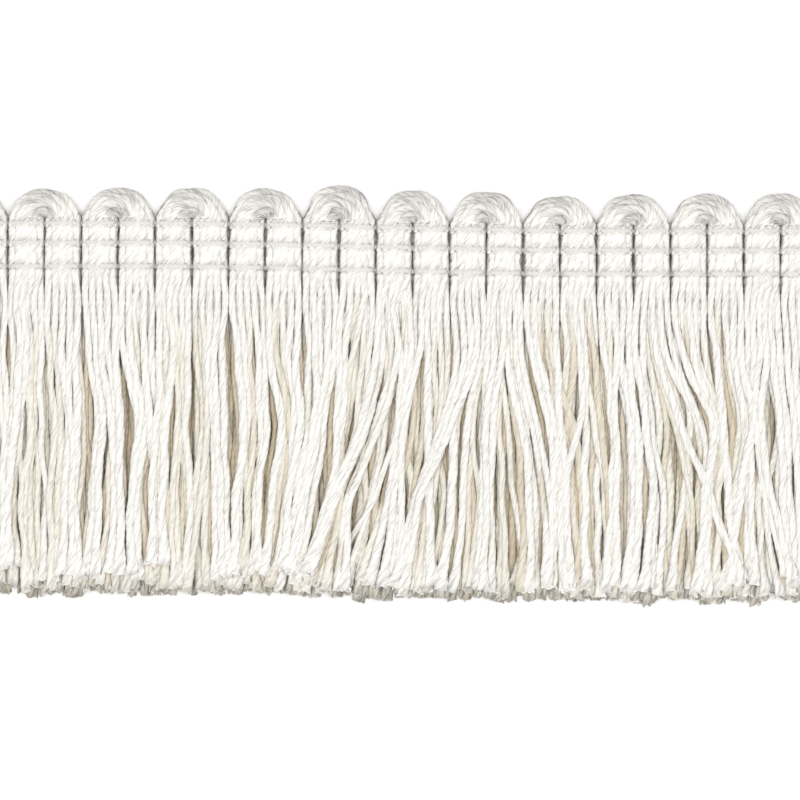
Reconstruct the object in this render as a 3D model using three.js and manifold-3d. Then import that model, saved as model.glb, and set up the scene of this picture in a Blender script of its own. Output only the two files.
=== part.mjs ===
// Brush fringe trim: a cut length of white yarn fringe with a looped heading.
// It lies on its back. X runs along the trim, Y from the cut ends up to the loops, Z up off the surface.
// Each yarn bundle is an inverted U: up one leg, round a loop, down the next leg, then loose cut strands.
// Three rows of chain stitch lap every leg front and back, and hold the bundles side by side.
import * as THREE from 'three';
import { mergeVertices } from 'three/addons/utils/BufferGeometryUtils.js';
import Module from 'manifold-3d';

const wasm = await Module();
wasm.setup();

// Driving dimensions, in millimetres
const TRIM_HEIGHT = 51.8; // top of the tallest loop to the tip of the longest strand
const BUNDLE_PITCH = 9; // loop to loop along the heading
const LEG_PITCH = BUNDLE_PITCH / 2;
const LEG_WIDTH = 3.9;
const LOOP_RADIUS = 2.4; // middle of the yarn round a loop
const LOOP_WIDTH = 3.6;
const LOOP_THICKNESS = 2.4;
const STRAND_WIDTH = 0.85; // one lock of yarn
const STRAND_THICKNESS = 0.8;
const PIECE_GAP = 0.32;
const LAYER_PITCH = STRAND_THICKNESS + PIECE_GAP;
const TIP_SPACING = STRAND_WIDTH + PIECE_GAP;
const BRUSH_LENGTH = 38.5; // from the root of a strand, inside its leg, to the mean cut of the longest layer
const CUT_UNEVENNESS = 0.9;
const THREAD_WIDTH = 0.45;
const THREAD_THICKNESS = 0.36;
const FINEST_DETAIL = 0.01; // slivers under this size, left where a root enters its leg, are merged away
const SAME_POINT = 1e-4; // points of a shape this close are one

// The trim is laid with a slight bow: it drops by twice this along its length.
const BOW = 0.55;
const BOW_REACH = 40;

// A leg is waisted where a stitch row ties it, and full in the bands between.
const WAIST_WIDTH = 3.05;
const WAIST_THICKNESS = 1;
const WAIST_LIFT = 0.96; // underside of the waist above the surface
const LAP_REACH = 1.5; // a stitch thread runs level this far each side of a leg's middle
const LAP_CLEARANCE = 0.46; // stitch thread over the waist
const BAND = { width: LEG_WIDTH, thickness: 2.5, lift: 0 };
const WAIST = { width: WAIST_WIDTH, thickness: WAIST_THICKNESS, lift: WAIST_LIFT };

// The three stitch rows; below is the distance under the loops' centre.
const TOP_ROW = { name: 'stitch_row_top', below: 0.3 };
const MIDDLE_ROW = { name: 'stitch_row_middle', below: 2.75 };
const BOTTOM_ROW = { name: 'stitch_row_bottom', below: 5.75 };

// Sections of a leg from the brush up to the loop, and where sections lie round the loop, in degrees.
const LEG_SECTIONS = [
  { below: 7.4, width: 3.8, thickness: 2.3, lift: 0 },
  { below: BOTTOM_ROW.below, ...WAIST },
  { below: 4.25, ...BAND },
  { below: MIDDLE_ROW.below, ...WAIST },
  { below: 1.55, ...BAND },
  { below: TOP_ROW.below, ...WAIST },
];
const LOOP_ANGLES = [28, 59, 90, 121, 152];

// One row for each bundle from left to right: how much its loop stands above the plain half circle.
const BUNDLES = [
  { rise: 0.1 },
  { rise: 0.0 },
  { rise: 0.1 },
  { rise: 0.15 },
  { rise: 0.25 },
  { rise: 0.75 },
  { rise: 0.3 },
  { rise: 0.4 },
  { rise: 0.0 },
  { rise: 0.35 },
  { rise: 0.45 },
  { rise: 0.5 },
  { rise: 0.2 },
];

// One row for each leg from left to right: how far its left and right front strands have swung sideways at
// the tips, and how far the lock parts in the middle.
const LEGS = [
  { left: 0.0, right: 0.4, part: 0.0 },
  { left: 1.0, right: 1.0, part: 0.0 },
  { left: -1.4, right: 0.5, part: 0.8 },
  { left: 1.0, right: 0.0, part: 0.0 },
  { left: -0.4, right: 1.2, part: 0.2 },
  { left: 1.4, right: 1.0, part: 0.0 },
  { left: -1.4, right: 0.5, part: 0.8 },
  { left: 1.1, right: 0.1, part: 0.0 },
  { left: -0.5, right: 0.0, part: 0.5 },
  { left: -0.6, right: -0.9, part: 0.0 },
  { left: -3.3, right: -3.6, part: 0.0 },
  { left: -5.0, right: -5.3, part: 0.0 },
  { left: -5.6, right: -3.7, part: 0.3 },
  { left: -4.1, right: -1.6, part: 0.0 },
  { left: -3.8, right: -2.6, part: 0.0 },
  { left: -3.1, right: 3.1, part: 0.9 },
  { left: 2.3, right: 1.7, part: 0.0 },
  { left: 1.0, right: 0.9, part: 0.3 },
  { left: -0.1, right: 0.1, part: 0.3 },
  { left: -0.6, right: 4.4, part: 0.9 },
  { left: 2.4, right: 3.4, part: 0.0 },
  { left: 2.4, right: 3.0, part: 0.5 },
  { left: 2.6, right: 2.8, part: 0.0 },
  { left: 2.4, right: 1.9, part: 0.0 },
  { left: 1.2, right: 0.6, part: 0.2 },
  { left: 0.4, right: 0.0, part: 0.0 },
];

// Loose strands that lie over the others: leg, root beside the leg's middle, sideways swing and shortfall.
const CROSSING_STRANDS = [
  { leg: 12, root: -1.1, lean: -10.2, short: 3.4 },
  { leg: 12, root: 1.0, lean: -10.9, short: 3.0 },
  { leg: 14, root: -1.3, lean: -8.0, short: 1.6 },
  { leg: 14, root: 0.0, lean: -8.1, short: 1.2 },
  { leg: 14, root: 1.2, lean: -8.0, short: 1.8 },
  { leg: 19, root: -0.4, lean: 11.4, short: 2.6 },
];

// Strands lie in layers, one on another, from back to front. follow is how much of the front strands' swing
// a layer takes, stray how far its tips lie from that by chance, and short how much less it reaches.
const LAYERS = [
  { rootHeight: 0.6, follow: 0.15, stray: 0.9, shift: -0.05, short: 0 },
  { rootHeight: 1.15, follow: 0.5, stray: 0.7, shift: 0.05, short: 0.5 },
  { rootHeight: 1.75, follow: 1.0, stray: 0.15, shift: 0, short: 2 },
];
const CROSSING_ROOT_HEIGHT = 1.9;
const STRAND_ROOTS = [-1.2, 0, 1.2]; // across a leg, in each layer
const STRAND_RINGS = [0, 0.22, 0.55, 1]; // where along a strand its sections are
const ROOT_TAPER = 0.6;
const ROOT_BELOW = 6.9; // strand roots under the loop's centre, inside the leg
const BEND_SHARE = 0.25; // a strand leaves its leg straight and swings within about this share of its length
const PARTING = 0.4; // where across a leg its front strands part
const COMB_PASSES = 60;

const loopReach = LOOP_RADIUS + LOOP_WIDTH / 2;
const trimHalf = (BUNDLES.length * BUNDLE_PITCH) / 2;
const bundleX = (bundle) => (bundle - (BUNDLES.length - 1) / 2) * BUNDLE_PITCH;
const legX = (leg) => (leg - (LEGS.length - 1) / 2) * LEG_PITCH;
const bow = (x) => -BOW * Math.sin(THREE.MathUtils.clamp(x / BOW_REACH, -1, 1) * (Math.PI / 2));
const tallest = Math.max(...BUNDLES.map(({ rise }, bundle) => rise + bow(bundleX(bundle))));
const loopY = TRIM_HEIGHT / 2 - loopReach - tallest; // centre of a loop, before the bow
const bundlePlace = (bundle) => new THREE.Vector3(bundleX(bundle), loopY + bow(bundleX(bundle)), 0);
const TRIANGLE = { sides: 3, halfBase: Math.sin(Math.PI / 3), foot: 0.5, height: 1.5 }; // in a unit circle

// An even spread of numbers from -1 to 1 that looks irregular and is the same in each build.
const scatter = (seed) => THREE.MathUtils.seededRandom(seed) * 2 - 1;

// A closed tube: place gives each wall point from its ring number and its unit section point (across, up).
function tube(sides, turn, rings, place) {
  const shape = new THREE.CylinderGeometry(1, 1, 1, sides, rings, false, turn);
  shape.deleteAttribute('normal');
  shape.deleteAttribute('uv');
  const points = shape.getAttribute('position');
  const point = new THREE.Vector3();
  for (let i = 0; i < points.count; i++) {
    point.fromBufferAttribute(points, i);
    const ring = Math.round((0.5 - point.y) * rings);
    place(ring, point.x, point.z, point);
    points.setXYZ(i, point.x, point.y, point.z);
  }
  return mergeVertices(shape, SAME_POINT);
}

function toSolid(shape) {
  const vertProperties = new Float32Array(shape.getAttribute('position').array);
  const triVerts = new Uint32Array(shape.index.array);
  return new wasm.Manifold(new wasm.Mesh({ numProp: 3, vertProperties, triVerts }));
}

function toGeometry(solid) {
  const { vertProperties, triVerts } = solid.simplify(FINEST_DETAIL).getMesh();
  return new THREE.BufferGeometry()
    .setAttribute('position', new THREE.BufferAttribute(new Float32Array(vertProperties), 3))
    .setIndex(new THREE.BufferAttribute(new Uint32Array(triVerts), 1));
}

// The loop and two legs of a bundle: one swept oval section, flat underneath. The loop's centre is the origin.
function makeLoop(bundle) {
  const { rise } = BUNDLES[bundle];
  const side = LEG_PITCH / 2;
  const leg = (sign) =>
    LEG_SECTIONS.map(({ below, ...section }) => ({
      ...section,
      middle: new THREE.Vector2(sign * side, -below),
      across: new THREE.Vector2(sign, 0),
    }));
  const loop = LOOP_ANGLES.map((degrees) => {
    const angle = THREE.MathUtils.degToRad(degrees);
    const across = new THREE.Vector2(-Math.cos(angle), Math.sin(angle));
    const middle = new THREE.Vector2(LOOP_RADIUS * across.x, (LOOP_RADIUS + rise) * across.y);
    return { width: LOOP_WIDTH, thickness: LOOP_THICKNESS, lift: 0, middle, across };
  });
  const sections = [...leg(-1), ...loop, ...leg(1).reverse()];
  const sides = 8;
  const reach = Math.cos(Math.PI / sides); // of a flat-topped octagon in a unit circle
  return tube(sides, Math.PI / sides, sections.length - 1, (ring, across, up, point) => {
    const section = sections[ring];
    const offset = (across / reach) * (section.width / 2);
    point.x = section.middle.x + section.across.x * offset;
    point.y = section.middle.y + section.across.y * offset;
    point.z = section.lift + (up / reach + 1) * (section.thickness / 2);
  });
}

// A loose strand: a three-sided lock with its flat side down, from its root in the leg to its cut tip.
// The centre of its bundle's loop is the origin.
function makeStrand(bundle, { rootX, tipX, rootHeight, restHeight, short }) {
  const { x: centreX, y: centreY } = bundlePlace(bundle);
  const tipY = Math.max(-ROOT_BELOW - BRUSH_LENGTH + short, -TRIM_HEIGHT / 2 - centreY);
  return tube(TRIANGLE.sides, 0, STRAND_RINGS.length - 1, (ring, across, up, point) => {
    const along = STRAND_RINGS[ring];
    const swing = ((1 + BEND_SHARE) * along * along) / (along + BEND_SHARE);
    const settle = THREE.MathUtils.smoothstep(along, 0, BEND_SHARE);
    const size = THREE.MathUtils.lerp(ROOT_TAPER, 1, settle);
    const base = THREE.MathUtils.lerp(rootHeight - (ROOT_TAPER * STRAND_THICKNESS) / 2, restHeight, settle);
    const middleX = THREE.MathUtils.lerp(rootX, tipX, swing) - centreX;
    point.x = middleX + (across / TRIANGLE.halfBase) * ((size * STRAND_WIDTH) / 2);
    point.y = THREE.MathUtils.lerp(-ROOT_BELOW, tipY, along);
    point.z = base + ((up + TRIANGLE.foot) / TRIANGLE.height) * size * STRAND_THICKNESS;
  });
}

// Tips of one layer from left to right, pushed apart until each stands clear of the next.
function comb(tips) {
  const edge = trimHalf - STRAND_WIDTH;
  for (let pass = 0; pass < COMB_PASSES; pass++) {
    for (let i = 1; i < tips.length; i++) {
      const push = Math.max(0, TIP_SPACING - (tips[i] - tips[i - 1])) / 2;
      tips[i - 1] -= push;
      tips[i] += push;
    }
    tips[0] = Math.max(tips[0], -edge);
    tips[tips.length - 1] = Math.min(tips[tips.length - 1], edge);
  }
  return tips;
}

// Every strand of a layer, with its leg.
function layStrands(layer) {
  const { rootHeight, follow, stray, shift, short: layerShort } = LAYERS[layer];
  const strands = LEGS.flatMap(({ left, right, part }, leg) =>
    STRAND_ROOTS.map((root, place) => {
      const seed = 2 * (1 + place + STRAND_ROOTS.length * (leg + LEGS.length * layer));
      const share = place / (STRAND_ROOTS.length - 1);
      const opening = part * Math.sign(share - PARTING);
      const lean = follow * (THREE.MathUtils.lerp(left, right, share) + opening) + stray * scatter(seed);
      const rootX = legX(leg) + root + shift;
      const short = layerShort + CUT_UNEVENNESS * scatter(seed + 1);
      return { leg, rootX, tipX: rootX + lean, rootHeight, restHeight: layer * LAYER_PITCH, short };
    }),
  );
  comb(strands.map(({ tipX }) => tipX)).forEach((tipX, i) => (strands[i].tipX = tipX));
  return strands;
}

const strands = LAYERS.flatMap((_, layer) => layStrands(layer)).concat(
  CROSSING_STRANDS.map(({ leg, root, lean, short }) => {
    const rootX = legX(leg) + root;
    const restHeight = LAYERS.length * LAYER_PITCH;
    return { leg, rootX, tipX: rootX + lean, rootHeight: CROSSING_ROOT_HEIGHT, restHeight, short };
  }),
);

// A bundle: its loop and legs with the roots of its strands fused into the legs.
function makeBundle(bundle) {
  const own = strands.filter(({ leg }) => Math.floor(leg / 2) === bundle);
  const roots = own.map((strand) => toSolid(makeStrand(bundle, strand)));
  return toGeometry(roots.reduce((solid, root) => solid.add(root), toSolid(makeLoop(bundle))));
}

// One thread of a stitch row: level over each leg at the given height, and at mid height between the legs,
// where it crosses the row's other thread. It follows the bow of the trim about y = 0.
function makeThread(lapHeight) {
  const crossHeight = WAIST_LIFT + WAIST_THICKNESS / 2;
  const stations = LEGS.flatMap((_, leg) => [
    { x: legX(leg) - LEG_PITCH / 2, z: crossHeight },
    { x: legX(leg) - LAP_REACH, z: lapHeight },
    { x: legX(leg) + LAP_REACH, z: lapHeight },
  ]);
  stations.push({ x: trimHalf, z: crossHeight });
  return tube(TRIANGLE.sides, 0, stations.length - 1, (ring, across, up, point) => {
    const { x, z } = stations[ring];
    point.x = x;
    point.y = bow(x) + (across / TRIANGLE.halfBase) * (THREAD_WIDTH / 2);
    point.z = z + ((up + TRIANGLE.foot) / TRIANGLE.height - 0.5) * THREAD_THICKNESS;
  });
}

// A stitch row: its front and back threads cross between the legs, where they are fused.
function makeStitchRow() {
  const frontHeight = WAIST_LIFT + WAIST_THICKNESS + LAP_CLEARANCE + THREAD_THICKNESS / 2;
  const front = toSolid(makeThread(frontHeight));
  const back = toSolid(makeThread(THREAD_THICKNESS / 2));
  return toGeometry(front.add(back));
}

// White rayon yarn and a smoother white cotton thread
const yarnFinish = () => new THREE.MeshStandardMaterial({ color: 0xf4f0e4, roughness: 0.7, metalness: 0 });
const threadFinish = () => new THREE.MeshStandardMaterial({ color: 0xf6f4ee, roughness: 0.6, metalness: 0 });

const trim = new THREE.Group();
trim.name = 'brush_fringe_trim';

BUNDLES.forEach((_, bundle) => {
  const mesh = new THREE.Mesh(makeBundle(bundle), yarnFinish());
  mesh.name = `yarn_bundle_${String(bundle + 1).padStart(2, '0')}`;
  mesh.position.copy(bundlePlace(bundle));
  trim.add(mesh);
});

[TOP_ROW, MIDDLE_ROW, BOTTOM_ROW].forEach(({ name, below }) => {
  const mesh = new THREE.Mesh(makeStitchRow(), threadFinish());
  mesh.name = name;
  mesh.position.y = loopY - below;
  trim.add(mesh);
});

export default trim;
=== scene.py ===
import math

import bpy
import numpy as np
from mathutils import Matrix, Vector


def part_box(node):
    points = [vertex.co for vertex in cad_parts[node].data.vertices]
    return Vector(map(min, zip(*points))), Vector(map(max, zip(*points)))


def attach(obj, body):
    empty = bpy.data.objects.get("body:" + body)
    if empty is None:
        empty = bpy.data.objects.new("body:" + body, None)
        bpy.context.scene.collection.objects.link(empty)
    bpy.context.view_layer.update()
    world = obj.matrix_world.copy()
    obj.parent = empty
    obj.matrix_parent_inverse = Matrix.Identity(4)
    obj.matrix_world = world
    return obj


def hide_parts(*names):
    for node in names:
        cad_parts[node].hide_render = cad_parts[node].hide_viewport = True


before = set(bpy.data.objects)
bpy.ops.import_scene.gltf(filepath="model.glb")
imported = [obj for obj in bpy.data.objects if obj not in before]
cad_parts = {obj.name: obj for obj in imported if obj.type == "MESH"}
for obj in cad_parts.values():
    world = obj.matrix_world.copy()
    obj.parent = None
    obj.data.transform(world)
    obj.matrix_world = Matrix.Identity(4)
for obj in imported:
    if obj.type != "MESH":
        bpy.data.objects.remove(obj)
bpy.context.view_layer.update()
bpy.ops.object.select_all(action="DESELECT")

mm = 0.001  # sizes below are millimetres, meshes are metres
chance = np.random.default_rng(7)


# Where the frame has the loops and the stitch rows

trim = {
    "bundles": 13,
    "bundlePitch": 9.0,  # loop to loop
    "bow": 0.48,  # the length lies in a slight bow
    "bowMiddle": -6.0,
    "bowReach": 30.0,
    "loopAboveTopRow": 0.75,
    "threadsUp": [0.14, 0.2, 0.33],  # the soft threads are drawn up a little from the middle of their rows
}
rowNames = ["stitch_row_top", "stitch_row_middle", "stitch_row_bottom"]
legPitch = trim["bundlePitch"] / 2
legCount = trim["bundles"] * 2
trimHalf = trim["bundles"] * trim["bundlePitch"] / 2


def middleOf(node):
    low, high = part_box(node)
    return (low + high) / 2 / mm


rowHeights = [middleOf(name).y for name in rowNames]
loopHeight = rowHeights[0] + trim["loopAboveTopRow"]
rowHeights = [y + up for y, up in zip(rowHeights, trim["threadsUp"])]
rowsBelow = [loopHeight - y for y in rowHeights]


def legX(leg):
    return (leg - (legCount - 1) / 2) * legPitch


def bundleX(bundle):
    return (legX(2 * bundle) + legX(2 * bundle + 1)) / 2


def bowAt(x):
    return -trim["bow"] * np.sin(np.clip((x - trim["bowMiddle"]) / trim["bowReach"], -1, 1) * math.pi / 2)


def smoothStep(start, end, value):
    t = np.clip((value - start) / (end - start), 0, 1)
    return t * t * (3 - 2 * t)


def stepsAlong(path):
    return np.linalg.norm(np.diff(path, axis=0), axis=1)


def runningSum(steps):
    return np.concatenate([[0], np.cumsum(steps)])


print("frame: %d bundles, loop centres at y %.2f mm" % (trim["bundles"], loopHeight))


# Heading: yarns side by side up a leg, round the loop and down the next leg

heading = {
    "across": 5,  # yarns across a leg
    "deep": 4,  # and from back to front
    "legHalfWidth": 2.04,
    "legRoom": 1.34,  # from the middle of a leg to the middle of its outer yarns
    "loopMiddle": 2.0,  # from the centre of a loop to its middle yarns
    "loopRoom": 1.2,  # and from these to its outer yarns
    "loopPower": 2.5,  # 2 would make the outside of a loop an ellipse, more makes it fuller
    "bandTop": 2.5,  # height of the full bands between the stitch rows
    "loopTop": 2.5,
    "loopLean": 0.9,  # the far end of a loop lies this much lower
    "loopFrom": (0.1, 1.2),  # over this stretch a leg becomes the loop
    "eyeReach": 2.0,  # yarns nearer than this to the loop's centre are sunk and make its eye
    "eyeFull": 1.6,
    "eyeSink": 0.55,
    "grooveFlat": 0.24,  # half of the level floor of a groove, where the thread lies
    "grooveAbove": 0.8,  # the band over a stitch row slopes into it, the one under it rises steeply
    "grooveUnder": 0.14,
    "grooveWider": 0.06,  # the yarns spread a little under the thread
    "grooveDown": 0.3,  # and are pressed in from the face and from the back
    "grooveUp": 0.3,
    "legRound": 0.36,  # outer yarns of a leg lie this much lower
    "loopRound": 0.7,
    "footRound": 0.4,  # and come up from the table by this share of it
    "legHalf": 0.75,  # half width of a yarn, so that neighbours press into each other
    "loopHalf": 0.64,
    "leastHalf": 0.2,  # half thickness where the yarns are pressed most
    "overlap": 1.1,  # yarns are this much thicker than their room
    "loopSettle": 0.25,  # soft loops end this far under the tops of their solids
    "legLean": 0.07,  # how far a leg leans, about
    "legSwell": [-0.05, -0.02],  # mean change of a leg's half width in the two bands
    "swellUneven": 0.05,
    "neck": 1.5,  # over this height the loop narrows from the width of its legs
    "backWider": 0.27,  # the back yarns of two legs meet
    "parting": 0.3,  # under the bottom row the yarns come apart
    "brushBelow": 0.9,  # the loose brush starts this far under the bottom row
    "grooveRings": [-1.1, -0.8, -0.6, -0.42, -0.26, 0.0, 0.26, 0.32, 0.4, 0.8],  # of a yarn, about each row
    "loopRings": 21,
    "legWander": 0.06,  # how far a yarn wanders from its place
    "loopWander": 0.17,
    "wanderFrom": 2.0,  # growing over this length from its root
    "wanderHeld": 0.7,  # the stitch threads take this share of it away
    "wanderUp": 0.6,  # share of it that goes up and down
    "wanderWaves": [(0.6, 0.7), (0.4, 1.9)],  # share of each wave, and how far it turns in a millimetre
}
brushTop = rowsBelow[-1] + heading["brushBelow"]
legStations = {0.0, brushTop} | {row + step for row in rowsBelow for step in heading["grooveRings"]}
legStations = np.array(sorted(below for below in legStations if 0 <= below <= brushTop))[::-1]
bandSwell = [np.clip((legStations - top) / (foot - top), 0, 1) for top, foot in zip(rowsBelow, rowsBelow[1:])]
bandSwell = np.sin(np.array(bandSwell) * math.pi)


def grooveAt(below):
    depth = np.zeros(np.shape(below))
    for row in rowsBelow:
        reach = np.where(below < row, heading["grooveAbove"], heading["grooveUnder"])
        past = np.maximum(np.abs(below - row) - heading["grooveFlat"], 0)
        depth = np.maximum(depth, np.exp(-((past / reach) ** 2)))
    return depth


# Half thickness and height of a yarn: across runs from -1 to 1 over the bundle, deep from 0 at the back to 1
def stackYarn(below, loopShare, across, deep, sunk=0):
    groove = grooveAt(below) * (1 - loopShare)
    top = heading["bandTop"] + (heading["loopTop"] - heading["bandTop"]) * loopShare
    edge = heading["legRound"] * across**2 * (1 - loopShare) + heading["loopRound"] * across**2 * loopShare
    top = top - heading["grooveDown"] * groove - edge - sunk
    foot = heading["grooveUp"] * groove + heading["footRound"] * edge
    half = (top - foot) / (2 * heading["deep"])
    return half, foot + half + (top - foot - 2 * half) * deep


# Moves a heading yarn off its line by soft waves, outward and up
def wanderYarn(line, loopShare):
    x, y = line[:, 0], line[:, 1]
    up, down = np.maximum(y, 0), np.maximum(-y, 0)
    along = runningSum(stepsAlong(line))
    wander = heading["legWander"] + (heading["loopWander"] - heading["legWander"]) * loopShare
    wander = wander * smoothStep(0, heading["wanderFrom"], np.minimum(along, along[-1] - along))
    wander = wander * (1 - heading["wanderHeld"] * grooveAt(down) * (1 - loopShare))
    outward = np.stack([x, up, 0 * x], 1)
    outward /= np.linalg.norm(outward, axis=1, keepdims=True)
    for direction in (outward, np.array([[0, 0, heading["wanderUp"]]])):
        starts = chance.uniform(0, 2 * math.pi, len(heading["wanderWaves"]))
        waves = zip(heading["wanderWaves"], starts)
        wave = sum(share * np.sin(along * rate + start) for (share, rate), start in waves)
        line += direction * (wander * wave)[:, None]


# One yarn from the left root to the right root, about the loop's centre
def layHeadingYarn(across, deep, archHeight, leans, swells):
    below = legStations
    side = legPitch / 2
    parting = heading["parting"] * smoothStep(rowsBelow[-1] + heading["grooveFlat"], brushTop, below)
    room = heading["legRoom"] + heading["backWider"] * (1 - deep) + heading["grooveWider"] * grooveAt(below)
    room = room + parting * heading["legHalf"] + swells @ bandSwell
    leftX, rightX = leans[:, None] * below / brushTop + [[-side], [side]] + [[across], [-across]] * room

    radius = heading["loopMiddle"] - across * heading["loopRoom"]
    outermost = heading["loopMiddle"] + heading["loopRoom"]
    power = 2 / (2 + (heading["loopPower"] - 2) * (1 - across) / 2)
    turn = np.linspace(0, math.pi, heading["loopRings"] + 2)[1:-1]
    archX = -radius * np.sign(np.cos(turn)) * np.abs(np.cos(turn)) ** power
    archY = radius / outermost * archHeight * np.sin(turn) ** power
    neck = smoothStep(heading["neck"], 0, archY) * np.abs(np.cos(turn))
    archX = archX + neck * np.where(np.cos(turn) > 0, leftX[-1] + radius, rightX[-1] - radius)

    x = np.concatenate([leftX, archX, rightX[::-1]])
    y = np.concatenate([-below, archY, -below[::-1]])
    loopShare = smoothStep(*heading["loopFrom"], y)
    sunk = heading["loopLean"] * (np.maximum(y, 0) / (archHeight + heading["loopHalf"])) ** 2
    inEye = smoothStep(heading["eyeReach"], heading["eyeFull"], radius)
    sunk = sunk + heading["eyeSink"] * inEye * loopShare
    half, z = stackYarn(np.maximum(-y, 0), loopShare, across, deep, sunk)
    line = np.stack([x, y, z], 1)
    wanderYarn(line, loopShare)
    wide = heading["legHalf"] + (heading["loopHalf"] - heading["legHalf"]) * loopShare
    wide = wide * (1 - np.concatenate([parting, 0 * turn, parting[::-1]]))
    return line, wide, np.maximum(half, heading["leastHalf"]) * heading["overlap"]


# Brush: loose strands under the bottom row, told by where their locks lie

brush = {
    "cut": -24.5,  # mean cut of the longest strands
    "cutUneven": 0.4,
    "fanBelow": 2.2,  # so far under its leg a brush has fanned out to meet its neighbours
    "fanHalf": 1.8,
    "nearLevel": 5.2,  # heights at which the locks below are placed
    "middleLevel": -3.7,
    "lowLevel": -12.2,
    "rootSlope": 0.25,  # strands leave their leg nearly upright, with this share of their slope
    "rings": 40,
    "upperHalf": 0.45,  # half width of a strand where it leaves its leg, still open
    "lowerHalf": {0: 0.58, 0.5: 0.44, 1: 0.46, 2: 0.53, 3: 0.53},  # and further down, by layer from the back
    "openBy": 2.4,  # so far under its leg it has come to the one and to the other
    "drawnBy": 15.0,
    "halfHeight": 0.22,  # half thickness of a settled strand
    "thinBy": 9.0,  # so far under its leg it has come to that
    "sizes": (0.85, 1.2),  # from thin to thick strands
    "flare": 1.65,  # a cut end opens by this much
    "underFlare": 1.25,
    "flareLength": 5.0,
    "longer": 0.55,  # front locks end this much lower than their places below say
    "shortUneven": 0.35,
    "brokenOff": 4.0,  # a strand this much too short is a thin broken one
    "brokenSize": 0.75,
    "evenNear": 0.5,  # near the legs the front strands are moved this share of the way to even places
    "spread": [0.8, 0.54, 0.52, 0.8],  # strand to strand in a lock, at the three levels and the tip
    "stray": 0.16,  # how far a strand lies from its place in a lock
    "strayAt": [0.4, 0.8, 1, 1],  # share of it at the three levels and the tip
    "closeShort": (0.8, 2.0),  # strands that close a thin place end this far above the cut
    "fillLayers": [0, 0.5, 0, 1],  # of the strands under the locks, in turn
    "fillHalf": [2.1, 2.2, 2.25, 2.3],  # half of the width they take up
    "fillLean": 0.8,  # share of the locks' lean that the uppermost of them have
    "fillShort": 0.8,  # and how far these end above the cut
    "fillStray": 0.75,
    "fillStrayBack": 0.5,  # share of that at the very back, growing towards the front
    "fillStrayAt": [0.2, 0.8, 1, 1],
    "swing": 2.6,  # the uppermost swing across the gaps
    "swingAt": [0, 0.35, 0.7, 1],
    "wander": 0.08,  # how far a strand waves on its way
    "waves": (7, 14),  # lengths of its waves
    "waveFrom": 8.0,  # which grow over this length
    "endRoom": 2.5,  # this near the ends of the trim strands are crowded
    "endReach": 2.0,
}

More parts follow.
